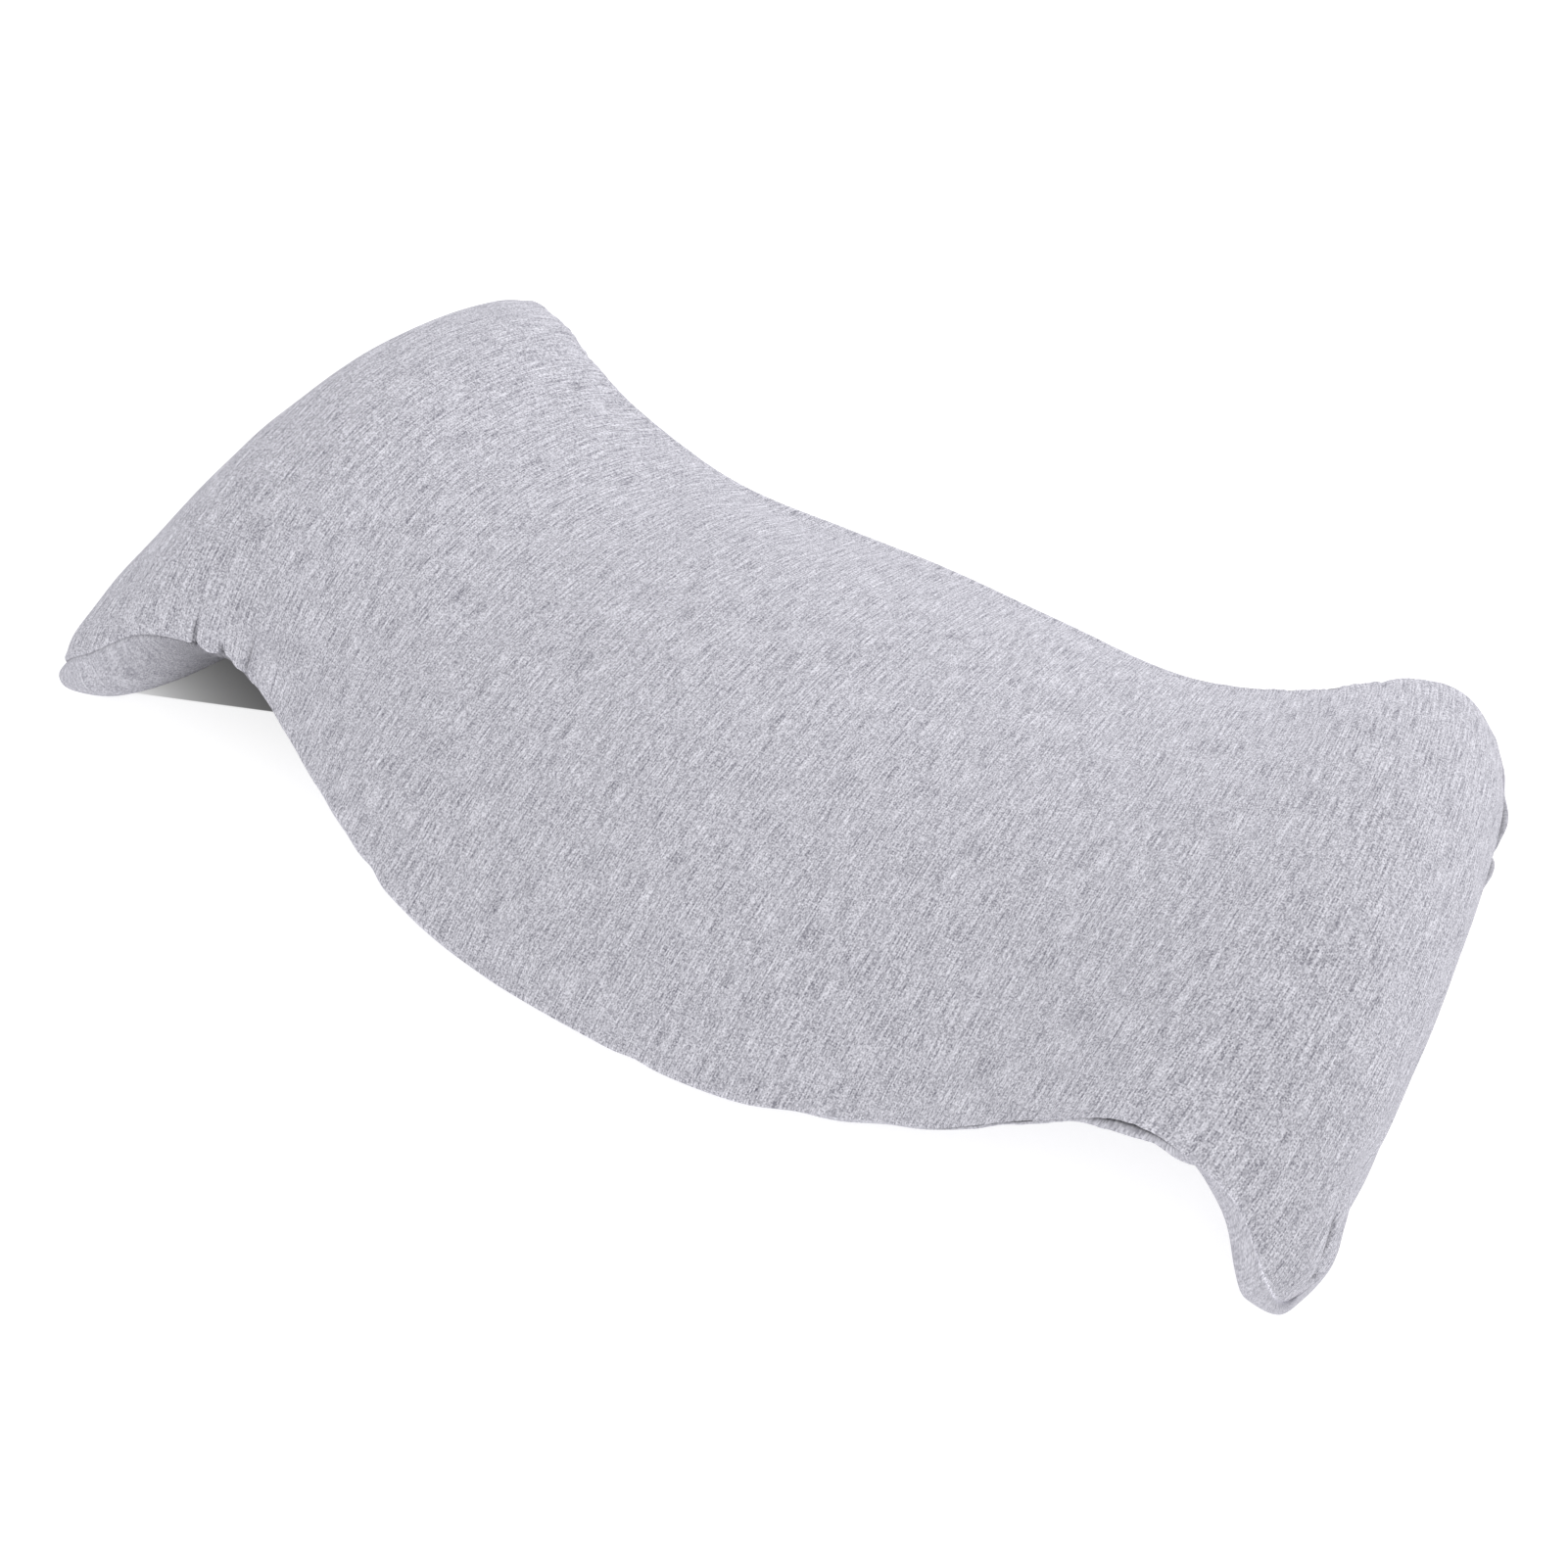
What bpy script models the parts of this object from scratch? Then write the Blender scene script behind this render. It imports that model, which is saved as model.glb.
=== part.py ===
"""Lumbar pillow: a stretch-jersey cover round one soft filling, lying on a flat surface.

The pillow is one filled solid. Seen from above it is a butterfly: a rounded belly in the
middle, a drawn-in neck on each side of it, and four ears at the corners. Both ends rise
into a thick roll that curls down to the surface, and the underside is hollow beneath
each neck, so the pillow stands on its belly and on its two ends.

Units are metres, +Z is up, X runs along the length and -Y is the front. The sizes in the
table are millimetres.
"""

import math
from typing import NamedTuple

import bmesh
import bpy
import numpy as np

MM = 0.001
NAME = "pillow"

# Number of faces in the coarse cage along the length, and across from seam to seam.
FACES_ALONG = 36
FACES_ACROSS = 18
SMOOTHING = 1

# How strongly the points across a section gather towards the two seams, from 0 to 1.
GATHER_AT_SEAM = 0.8
# Powers that shape a section: the top is an arch, the underside is a flatter trough.
TOP_POWER = 2.0
UNDER_POWER = 5.0
# Share of the half length from which the underside starts to close into the end seam.
CLOSING_FROM = 0.9
# The table measures Y from the line between the necks; this puts the pillow's middle on Y = 0.
CENTRE_SHIFT = 17.6

WELD = 0.01
COVER_COLOUR = (0.53, 0.53, 0.57, 1.0)
COVER_ROUGHNESS = 0.95


class Section(NamedTuple):
    """One section across the pillow; X and Z of its crown, seams and underside.

    part: place along the cover, 0 at the middle and 1 at the end seam
    crown_x, crown_z: highest point, halfway across
    front_x, front_y, front_z: seam on the front side
    back_x, back_y, back_z: seam on the back side
    under_x, under_z: underside, halfway across; below zero it lies flat on the surface
    fullness: 1 is an arch that meets the seam at a slant, 0.5 a round one
    tuck: 0.5 drops straight down under the seam, 1 slants inwards
    swell: how far the lower panel stands out beyond its seam
    """

    part: float
    crown_x: float
    crown_z: float
    front_x: float
    front_y: float
    front_z: float
    back_x: float
    back_y: float
    back_z: float
    under_x: float
    under_z: float
    fullness: float
    tuck: float
    swell: float


# Right half, in millimetres. The left half is its mirror image.
SECTIONS = (
    #       part  crown    front seam     back seam     under    full  tuck swell
    Section(0.00, 0, 60, 0, -187, 12, 0, 138, 13, 0, -3, 1.10, 0.5, 0),
    Section(0.20, 69, 59, 69, -179, 8, 61, 138, 11, 69, -3, 1.05, 0.5, 0),
    Section(0.40, 141, 62, 145, -156, 16, 128, 132, 17, 139, -3, 1.05, 0.6, 0),
    Section(0.55, 196, 79, 190, -133, 29, 180, 128, 40, 178, 15, 0.92, 0.9, 0),
    Section(0.68, 239, 98, 229, -121, 44, 218, 129, 66, 212, 30, 0.72, 0.9, 0),
    Section(0.80, 276, 94, 275, -129, 45, 249, 141, 67, 250, 7, 0.78, 0.7, 2),
    Section(0.90, 300, 69, 303, -147, 29, 270, 150, 44, 274, -6, 0.70, 0.5, 6),
    Section(0.96, 307, 48, 311, -149, 22, 276, 150, 27, 302, 1, 0.60, 0.5, 6),
    Section(1.00, 307, 30, 312, -142, 17, 279, 146, 16, 307, 30, 0.50, 0.5, 0),
)
MIRRORED = ("part", "crown_x", "front_x", "back_x", "under_x")


def clear_scene():
    for obj in list(bpy.data.objects):
        bpy.data.objects.remove(obj, do_unlink=True)


def full_table():
    """The sections from the left end to the right end, one row each."""
    right = np.array(SECTIONS, dtype=float)
    left = right[:0:-1].copy()
    for name in MIRRORED:
        left[:, Section._fields.index(name)] *= -1
    return np.concatenate([left, right])


def sections_at(places):
    """Sections at these places along the cover, as a dict of one array for each column.

    Each column is a cubic curve through the table's rows. Its slope at a row is that of
    the line between the two rows beside it.
    """
    table = full_table()
    knots = table[:, 0]
    slopes = np.empty_like(table)
    slopes[1:-1] = (table[2:] - table[:-2]) / (knots[2:] - knots[:-2])[:, None]
    slopes[0] = (table[1] - table[0]) / (knots[1] - knots[0])
    slopes[-1] = (table[-1] - table[-2]) / (knots[-1] - knots[-2])
    row = np.clip(np.searchsorted(knots, places, side="right") - 1, 0, len(knots) - 2)
    span = (knots[row + 1] - knots[row])[:, None]
    s = (places - knots[row])[:, None] / span
    values = (
        (2 * s**3 - 3 * s**2 + 1) * table[row]
        + (s**3 - 2 * s**2 + s) * span * slopes[row]
        + (3 * s**2 - 2 * s**3) * table[row + 1]
        + (s**3 - s**2) * span * slopes[row + 1]
    )
    return {name: values[:, i] for i, name in enumerate(Section._fields)}


def panel_points(places, across, lower):
    """Points of the upper or the lower panel, in metres.

    places run from -1 at the left end to 1 at the right, across from -1 at the front
    seam to 1 at the back seam. A point lies on the straight line between the two seams,
    lifted to the crown, or let down to the underside, by the section's own profile.
    """
    at = sections_at(places)
    round_spread = np.sin(across * math.pi / 2)
    v = (1 - GATHER_AT_SEAM) * across + GATHER_AT_SEAM * round_spread
    front = (1 - v) / 2
    back = (1 + v) / 2
    x = at["front_x"] * front + at["back_x"] * back
    y = at["front_y"] * front + at["back_y"] * back
    z = at["front_z"] * front + at["back_z"] * back
    middle_x = (at["front_x"] + at["back_x"]) / 2
    middle_z = (at["front_z"] + at["back_z"]) / 2
    arch = np.maximum(1 - np.abs(v) ** TOP_POWER, 0) ** at["fullness"]
    if not lower:
        x = x + (at["crown_x"] - middle_x) * arch
        z = z + (at["crown_z"] - middle_z) * arch
    else:
        trough = np.maximum(1 - np.abs(v) ** UNDER_POWER, 0) ** at["tuck"]
        closing = np.clip((np.abs(places) - CLOSING_FROM) / (1 - CLOSING_FROM), 0, 1) ** 2
        depth = (1 - closing) * trough + closing * arch
        x = x + (at["under_x"] - middle_x) * depth
        y = y + np.sign(v) * at["swell"] * 4 * trough * (1 - trough)
        z = np.maximum(z + (at["under_z"] - middle_z) * depth, 0)
    return np.stack([x, y + CENTRE_SHIFT, z], axis=-1) * MM


def add_panel(mesh, lower):
    """Adds a flat grid of faces and moves its points onto the upper or lower panel."""
    grid = bmesh.ops.create_grid(mesh, x_segments=FACES_ALONG, y_segments=FACES_ACROSS, size=1)
    flat = np.array([vert.co for vert in grid["verts"]])
    shaped = panel_points(flat[:, 0], flat[:, 1], lower)
    for vert, point in zip(grid["verts"], shaped):
        vert.co = point


def build_pillow(collection):
    """The two panels sewn along their edge into one closed solid, then smoothed."""
    mesh = bmesh.new()
    add_panel(mesh, lower=False)
    add_panel(mesh, lower=True)
    bmesh.ops.remove_doubles(mesh, verts=mesh.verts, dist=WELD * MM)
    bmesh.ops.recalc_face_normals(mesh, faces=mesh.faces)
    data = bpy.data.meshes.new(NAME)
    mesh.to_mesh(data)
    mesh.free()
    data.polygons.foreach_set("use_smooth", [True] * len(data.polygons))
    pillow = bpy.data.objects.new(NAME, data)
    collection.objects.link(pillow)
    smooth = pillow.modifiers.new("smooth", "SUBSURF")
    smooth.levels = SMOOTHING
    smooth.render_levels = SMOOTHING
    return pillow


def cover_material():
    material = bpy.data.materials.new("grey_jersey")
    material.use_nodes = True
    shader = material.node_tree.nodes["Principled BSDF"]
    shader.inputs["Base Color"].default_value = COVER_COLOUR
    shader.inputs["Roughness"].default_value = COVER_ROUGHNESS
    shader.inputs["Metallic"].default_value = 0.0
    return material


def main():
    clear_scene()
    collection = bpy.data.collections.new("lumbar_pillow")
    bpy.context.scene.collection.children.link(collection)
    pillow = build_pillow(collection)
    pillow.data.materials.append(cover_material())


main()
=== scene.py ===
"""Looks of the lumbar pillow: its jersey cover with seam and gathers, and a plain studio.

The cover is one closed surface of two panels. Both are worked out from the same short table
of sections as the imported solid, on a finer grid, and they share the points of the seam that
runs round the whole edge. Every point knows where it lies on the flat cloth, in millimetres
along the length and across, and the knit, the gathers and the folds follow those places.
A short cloth simulation adds the wrinkles of the gathered seam to that shape.
"""

import logging
import math
from dataclasses import dataclass
from enum import Enum
from typing import NamedTuple

import bpy
import numpy as np
from mathutils import Matrix, Vector


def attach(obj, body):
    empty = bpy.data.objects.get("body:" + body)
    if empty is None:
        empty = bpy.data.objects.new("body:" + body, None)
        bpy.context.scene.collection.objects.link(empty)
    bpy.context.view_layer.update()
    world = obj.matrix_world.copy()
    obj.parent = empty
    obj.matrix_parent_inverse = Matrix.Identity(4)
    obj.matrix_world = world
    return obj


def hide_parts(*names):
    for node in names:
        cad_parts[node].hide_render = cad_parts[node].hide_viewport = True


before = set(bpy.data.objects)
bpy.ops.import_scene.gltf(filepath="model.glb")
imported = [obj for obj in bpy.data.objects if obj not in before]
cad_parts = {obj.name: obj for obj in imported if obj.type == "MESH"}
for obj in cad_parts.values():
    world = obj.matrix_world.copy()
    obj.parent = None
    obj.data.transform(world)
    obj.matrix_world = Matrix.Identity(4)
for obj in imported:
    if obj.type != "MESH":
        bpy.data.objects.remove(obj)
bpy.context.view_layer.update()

MM = 0.001
TINY = 1e-9
LOG = logging.getLogger("lumbar_pillow")
BODY = "root"


def linear(hex_colour: str) -> tuple[float, float, float, float]:
    """Turns an sRGB hex colour into linear red, green, blue and alpha.

    Args:
        hex_colour: Six hex digits after a hash sign.

    Returns:
        The colour as Blender's sockets take it.
    """
    parts = [int(hex_colour[i : i + 2], 16) / 255 for i in (1, 3, 5)]
    bent = [c / 12.92 if c <= 0.04045 else ((c + 0.055) / 1.055) ** 2.4 for c in parts]
    return (bent[0], bent[1], bent[2], 1.0)


def bell(distance: np.ndarray, width: float) -> np.ndarray:
    """A soft bell: 1 at no distance, 0.37 at one width and next to nothing past two.

    Args:
        distance: Distances from the middle of the bell.
        width: The bell's width, in the same unit.

    Returns:
        exp(-(distance / width) squared) for each distance.
    """
    return np.exp(-((distance / width) ** 2))


def ramp(value: np.ndarray, start: float, end: float) -> np.ndarray:
    """A smooth step from 0 at start to 1 at end, level at both ends.

    Args:
        value: Where to read the step.
        start: Where it begins to rise.
        end: Where it has risen.

    Returns:
        3 s squared minus 2 s cubed, with s the share of the way from start to end.
    """
    share = np.clip((value - start) / (end - start), 0, 1)
    return share * share * (3 - 2 * share)


class Panel(Enum):
    """The two pieces of cloth that the cover is cut from."""

    UPPER = 0
    LOWER = 1


class Section(NamedTuple):
    """One section across the pillow, in millimetres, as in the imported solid.

    part: place along the cover, 0 at the middle and 1 at the end seam
    crown_x, crown_z: highest point, halfway across
    front_x, front_y, front_z: seam on the front side
    back_x, back_y, back_z: seam on the back side
    under_x, under_z: underside, halfway across; below zero it lies flat on the surface
    fullness: 1 is an arch that meets the seam at a slant, 0.5 a round one
    tuck: 0.5 drops straight down under the seam, 1 slants inwards
    swell: how far the lower panel stands out beyond its seam
    """

    part: float
    crown_x: float
    crown_z: float
    front_x: float
    front_y: float
    front_z: float
    back_x: float
    back_y: float
    back_z: float
    under_x: float
    under_z: float
    fullness: float
    tuck: float
    swell: float


SECTIONS = (
    #       part  crown    front seam     back seam     under    full  tuck swell
    Section(0.00, 0, 60, 0, -187, 12, 0, 138, 13, 0, -3, 1.10, 0.5, 0),
    Section(0.20, 69, 59, 69, -179, 8, 61, 138, 11, 69, -3, 1.05, 0.5, 0),
    Section(0.40, 141, 62, 145, -156, 16, 128, 132, 17, 139, -3, 1.05, 0.6, 0),
    Section(0.55, 196, 79, 190, -133, 29, 180, 128, 40, 178, 15, 0.92, 0.9, 0),
    Section(0.68, 239, 98, 229, -121, 44, 218, 129, 66, 212, 30, 0.72, 0.9, 0),
    Section(0.80, 276, 94, 275, -129, 45, 249, 141, 67, 250, 7, 0.78, 0.7, 2),
    Section(0.90, 300, 69, 303, -147, 29, 270, 150, 44, 274, -6, 0.70, 0.5, 6),
    Section(0.96, 307, 48, 311, -149, 22, 276, 150, 27, 302, 1, 0.60, 0.5, 6),
    Section(1.00, 307, 30, 312, -142, 17, 279, 146, 16, 307, 30, 0.50, 0.5, 0),
)
MIRRORED = ("part", "crown_x", "front_x", "back_x", "under_x")


@dataclass(frozen=True)
class PillowForm:
    """The pillow's own shape, read from the table of sections.

    Attributes:
        sections: Sections of the right half; the left half is its mirror image.
        top_power: Power of the arch over the upper panel.
        under_power: Power of the trough under the lower panel.
        closing_from: Share of the half length from which the underside closes.
        centre_shift: Millimetres that put the middle of the outline on Y = 0.
    """

    sections: tuple[Section, ...] = SECTIONS
    top_power: float = 2.0
    under_power: float = 5.0
    closing_from: float = 0.9
    centre_shift: float = 17.6

    def columns_at(self, places: np.ndarray) -> dict[str, np.ndarray]:
        """Reads every column of the table between its rows.

        Each column is a cubic through the rows; its slope at a row is that of the line
        between the two rows beside it.

        Args:
            places: Places along the cover, from -1 to 1.

        Returns:
            One array for each column, by name.
        """
        right = np.array(self.sections, dtype=float)
        left = right[:0:-1].copy()
        for name in MIRRORED:
            left[:, Section._fields.index(name)] *= -1
        table = np.concatenate([left, right])
        knots = table[:, 0]
        slopes = np.empty_like(table)
        slopes[1:-1] = (table[2:] - table[:-2]) / (knots[2:] - knots[:-2])[:, None]
        slopes[0] = (table[1] - table[0]) / (knots[1] - knots[0])
        slopes[-1] = (table[-1] - table[-2]) / (knots[-1] - knots[-2])
        row = np.clip(np.searchsorted(knots, places, side="right") - 1, 0, len(knots) - 2)
        span = (knots[row + 1] - knots[row])[:, None]
        s = (places - knots[row])[:, None] / span
        values = (
            (2 * s**3 - 3 * s**2 + 1) * table[row]
            + (s**3 - 2 * s**2 + s) * span * slopes[row]
            + (3 * s**2 - 2 * s**3) * table[row + 1]
            + (s**3 - s**2) * span * slopes[row + 1]
        )
        return {name: values[:, i] for i, name in enumerate(Section._fields)}

    def curves(self, places: np.ndarray, across: np.ndarray, panel: Panel) -> np.ndarray:
        """Works out the sections' own curves from the front seam to the back seam.

        A point lies on the straight line between the two seams, lifted to the crown or let
        down to the underside by the profile 1 - |v| to a power, itself to a power.

        Args:
            places: Places along the cover, from -1 to 1.
            across: Places across, v, from -1 at the front seam to 1 at the back seam.
            panel: Which panel to follow.

        Returns:
            Points in millimetres, one row of them for each place along.
        """
        at = {name: column[:, None] for name, column in self.columns_at(places).items()}
        v = across[None, :]
        front, back = (1 - v) / 2, (1 + v) / 2
        x = at["front_x"] * front + at["back_x"] * back
        y = at["front_y"] * front + at["back_y"] * back
        z = at["front_z"] * front + at["back_z"] * back
        middle_x = (at["front_x"] + at["back_x"]) / 2
        middle_z = (at["front_z"] + at["back_z"]) / 2
        arch = np.maximum(1 - np.abs(v) ** self.top_power, 0) ** at["fullness"]
        if panel is Panel.UPPER:
            x = x + (at["crown_x"] - middle_x) * arch
            z = z + (at["crown_z"] - middle_z) * arch
        else:
            trough = np.maximum(1 - np.abs(v) ** self.under_power, 0) ** at["tuck"]
            end_share = (np.abs(places) - self.closing_from) / (1 - self.closing_from)
            closing = np.clip(end_share, 0, 1)[:, None] ** 2
            depth = (1 - closing) * trough + closing * arch
            x = x + (at["under_x"] - middle_x) * depth
            y = y + np.sign(v) * at["swell"] * 4 * trough * (1 - trough)
            z = np.maximum(z + (at["under_z"] - middle_z) * depth, 0)
        return np.stack([x, y + self.centre_shift + 0 * arch, z], axis=-1)


class Fold(NamedTuple):
    """One soft trough or ridge in the cloth, in millimetres on the flat panel.

    start_along, start_across, end_along, end_across: the line that it follows
    width: half its width
    height: above zero a ridge, below zero a trough
    """

    start_along: float
    start_across: float
    end_along: float
    end_across: float
    width: float
    height: float


UPPER_FOLDS = (
    #    start         end            width height
    Fold(-267, -98, -265, -138, 1.3, -2.2),  # pulled in at the left neck
    Fold(-260, -104, -260, -134, 2.6, 1.3),
    Fold(-255, -110, -253, -128, 1.4, -3.0),
    Fold(-247, -102, -246, -134, 3.4, 1.1),
    Fold(-240, -92, -239, -130, 1.8, -1.7),
    Fold(-235, -86, -235, -128, 1.6, 1.2),
    Fold(334, -86, 352, -122, 2.6, -2.0),  # beside the lobe of the right ear
    Fold(346, -123, 361, -111, 1.1, -2.4),
    Fold(-222, 138, -205, 110, 1.8, -1.3),  # slack at the left end of the waist, behind
    Fold(-206, 147, -197, 124, 1.6, -1.3),
    Fold(-177, 114, -171, 150, 1.8, -1.0),
)
LOWER_FOLDS = (
    Fold(360, 121, 330, 118, 2.4, -2.6),  # between the two lobes of the back right corner
)


class Knead(NamedTuple):
    """One place where the filled shape was pushed about, in millimetres.

    centre_x, centre_y, centre_z: the middle of the push
    reach_x, reach_y, reach_z: how far it reaches along each axis
    push_x, push_y, push_z: how far the middle moves
    """

    centre_x: float
    centre_y: float
    centre_z: float
    reach_x: float
    reach_y: float
    reach_z: float
    push_x: float
    push_y: float
    push_z: float


WHOLE_KNEADS = (
    #     centre          reach         push
    Knead(-30, -168, 10, 190, 10, 18, 0, 3.6, -1.6),  # front seam rolled under
    Knead(138, -143, 12, 38, 12, 18, 0, 3, 0.5),
    Knead(-142, -138, 16, 26, 12, 20, 0, 3.2, 0.6),
    Knead(102, -150, 8, 16, 10, 12, 0, 1.6, 0.6),
    Knead(-121, -145, 12.5, 7, 8, 10, 0.5, 1.3, 0.7),
    Knead(33, -164, 8.5, 7, 8, 9, -0.3, 0.9, 0.5),
    Knead(-233.5, -103.5, 43.5, 5, 8, 8, 0.2, 1.2, 0.8),  # between two gathers of the left neck
    Knead(197, 137, 57, 8, 10, 12, 0.3, -0.8, -0.8),
    Knead(-78, 142, 18, 45, 14, 14, 0.5, -2.6, -0.5),  # back edge of the waist
    Knead(309, -134, 8, 14, 14, 16, -4.6, 3.4, 3),  # tip of the right ear
    Knead(296, -132, 12, 9, 12, 12, -1, -0.4, 0),
    Knead(314, -104, 19, 12, 14, 12, 3.3, 2.1, 0),  # its outer lobe
    Knead(315, -66, 33, 12, 15, 20, -2.6, -1.5, 0),  # dip above that lobe
    Knead(-310, -125, 18, 22, 28, 28, -1.5, -2.5, -1.5),  # left ear
    Knead(-306, -132, 23, 16, 12, 13, 0, 2.9, 2.3),  # its corner, turned up
    Knead(-312, -118, 36, 10, 12, 12, -1.3, -0.9, 0.3),
    Knead(-156, -128, 22, 18, 10, 12, 0.9, 1.4, 0.3),
    Knead(-208, 144, 64, 12, 14, 14, -1.6, -1.2, 0),
    Knead(208, 139, 64, 22, 12, 12, 0, -1.2, -1),
    Knead(280, 140, 58, 18, 16, 18, -1.5, -1, 0),  # back right corner
    Knead(275, 158, 43, 16, 15, 18, -2.6, -2.6, 0),
    Knead(240, 150, 73, 25, 15, 15, 0, 1, 1),
    Knead(-216, 138, 72, 16, 20, 20, 2, 2, 0.6),  # behind the left hump
)
LOWER_KNEADS = (
    Knead(-30, -165, 6, 180, 14, 12, 0, 4, 1),  # drawn in behind the rolled front seam
    Knead(224, -108, 38, 20, 12, 14, 0, -4.2, -4),  # strip that shows at the right neck
    Knead(256, -104, 36, 10, 12, 14, 3, 3, 0),
    Knead(250, -102, 40, 7, 9, 11, 0.9, -1.6, -1.5),
    Knead(212, -108, 36, 12, 8, 10, -0.5, 0.9, 0.9),
    Knead(-258, -88, 16, 14, 14, 20, -0.6, 3.5, 3),  # left neck
    Knead(-222, -104, 38, 12, 10, 12, 0, -0.7, -0.4),
    Knead(-311, -136, 14, 14, 10, 10, 0, -2.4, -1.4),  # round foot of the left ear
    Knead(290, 142, 33, 10, 16, 17, 4.8, 2.6, 0),  # lobes of the back right corner
    Knead(297, 109, 23, 10, 9, 11, 2.8, 1.2, 0.4),
    Knead(155, -133, 16, 20, 10, 12, 0, 2, 0.5),
    Knead(276, -108, 20, 14, 12, 18, 1.4, 1, 0),
    Knead(305, -133, 12, 8, 8, 9, 1.2, -0.5, -0.4),  # blunt foot of the right ear
    Knead(313, -127, 15, 7, 7, 8, 1, -1.3, -1.2),
    Knead(312, -68, 27, 8, 9, 10, -1.5, -0.4, 0.5),
)


def kneaded(points: np.ndarray, kneads: tuple[Knead, ...], share: np.ndarray) -> np.ndarray:
    """Pushes points about, one listed push after another.

    Each push is its full length at its centre and falls off as a bell of the distance from
    there, measured in reaches along each axis.

    Args:
        points: Points in millimetres.
        kneads: The pushes.
        share: How much of each push each point takes, from 0 to 1.

    Returns:
        The moved points.
    """
    table = np.array(kneads, dtype=float)
    moved = points.copy()
    for row in table:
        reaches = np.linalg.norm((points - row[0:3]) / row[3:6], axis=-1)
        moved += (bell(reaches, 1.0) * share)[..., None] * row[6:9]
    return moved


class Cloth(NamedTuple):
    """Where each point of a panel lies.

    place: place along the cover, from -1 to 1
    along, across: millimetres on the flat cloth, along the length and across it
    to_seam: distance from the nearest seam, in millimetres
    """

    place: np.ndarray
    along: np.ndarray
    across: np.ndarray
    to_seam: np.ndarray


class HollowShade(NamedTuple):
    """Painted shade in a deep place under the cover, where little light comes.

    Attributes:
        along, across: Where it is darkest, on the flat cloth, in millimetres.
        reach_along, reach_across: Its half length and half width.
        share: How dark the painted shade is there.
    """

    along: float
    across: float
    reach_along: float
    reach_across: float
    share: float

    def shade(self, cloth: Cloth) -> np.ndarray:
        """How dark the painted shade makes the cloth in the hollow.

        Args:
            cloth: Where the points lie.

        Returns:
            The product of two bells and the share.
        """
        rise = bell(cloth.along - self.along, self.reach_along)
        return self.share * rise * bell(cloth.across - self.across, self.reach_across)


# Painted shade on the lower panel under the left neck.
LEFT_HOLLOW_SHADE = HollowShade(-235, -100, 45, 40, 0.75)


class Opening(NamedTuple):
    """A stretch of the seam where its line is darker or lighter than elsewhere: painted shade, or a
    painted highlight.

    side: 1 on the right half, -1 on the left half
    begins, begun: places between which the stretch sets in
    ends, ended: places between which it is over; from 1 on it goes on to the end
    behind: millimetres across the pillow from which it shows
    dark: how much darker the painted shade makes the line; below zero a painted highlight
    """

    side: int
    begins: float
    begun: float
    ends: float
    ended: float
    behind: float
    dark: float


# Painted shade along the seam's line where it lies open, and a painted highlight where it is turned to
# the light.
OPENINGS = (
    #       side begins     ends       behind dark
    Opening(1, 0.40, 0.52, 0.70, 0.75, -400, 1.2),  # pulled open at the right neck
    Opening(1, 0.58, 0.64, 0.70, 0.75, -400, 0.6),
    Opening(-1, 0.70, 0.78, 1.0, 1.1, -400, 0.6),  # half open at the left ear
    Opening(1, 0.85, 0.90, 0.93, 0.96, -400, -0.4),  # turned to the light at the right ear
    Opening(1, 0.96, 0.98, 1.0, 1.1, 20, 1.0),  # open at the back right corner
)


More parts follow.
